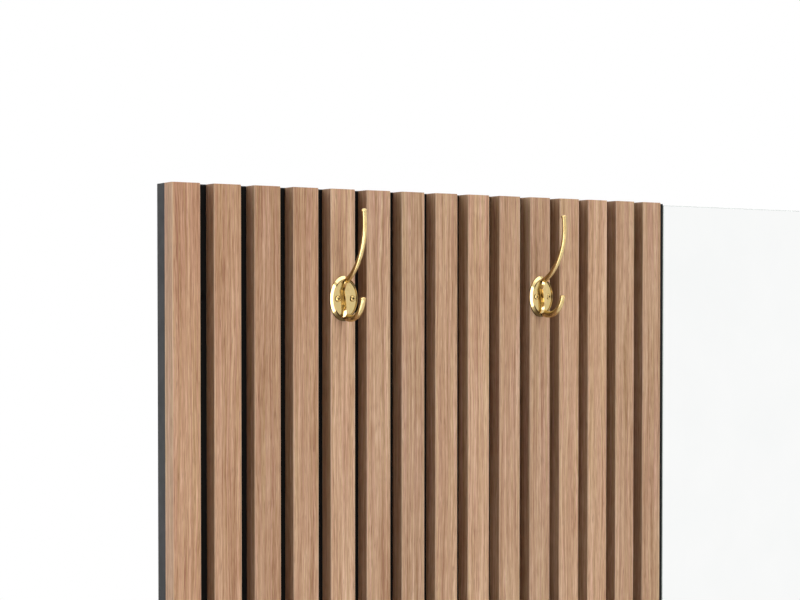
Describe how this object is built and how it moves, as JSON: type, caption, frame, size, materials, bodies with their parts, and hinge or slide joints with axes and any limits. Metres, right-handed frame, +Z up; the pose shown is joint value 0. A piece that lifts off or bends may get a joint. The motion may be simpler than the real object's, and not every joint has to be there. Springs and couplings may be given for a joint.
{
  "type": "coat rack with mirror",
  "caption": "Wall coat rack: upright wood-decor slats on a black board with brass double hooks, continued by a frameless mirror on its right side.",
  "frame": {"origin": "on the wall plane at the back of the slat board, on the middle slat's centre line and at half the panel's height, which is also the centre of the four wall holes", "axes": "+X to the right as seen from the room, +Y into the wall, +Z up"},
  "size_m": [1.007, 0.0724, 1.2],
  "materials": {
    "slat_wood": "satin wood-decor foil",
    "black_board": "matt black melamine",
    "black_edging": "matt black ABS edging",
    "polished_brass": "polished brass plating on a die casting",
    "brass_screw": "brass-plated steel",
    "mirror_silver": "silvered float glass with ground edges",
    "mounting_tape": "foam tape",
    "zinc_plate": "zinc-plated flat steel",
    "zinc_screw": "zinc-plated"
  },
  "bodies": {
    "root": {"slat_01": "slat_wood", "slat_02": "slat_wood", "slat_03": "slat_wood", "slat_04": "slat_wood", "slat_05": "slat_wood", "slat_06": "slat_wood", "slat_07": "slat_wood", "slat_08": "slat_wood", "slat_09": "slat_wood", "slat_10": "slat_wood", "slat_11": "slat_wood", "slat_12": "slat_wood", "slat_13": "slat_wood", "slat_14": "slat_wood", "slat_15": "slat_wood", "backing_board": "black_board", "mirror_carrier": "black_board", "edge_band_left": "black_edging", "edge_band_right": "black_edging", "edge_band_top": "black_edging", "edge_band_bottom": "black_edging", "hook_left": "polished_brass", "hook_right": "polished_brass", "hook_screws": "brass_screw", "mirror_glass": "mirror_silver", "mirror_tape": "mounting_tape", "joining_plate_upper": "zinc_plate", "joining_plate_middle": "zinc_plate", "joining_plate_lower": "zinc_plate", "slat_screws": "zinc_screw", "joining_screws": "zinc_screw"}
  },
  "joints": []
}
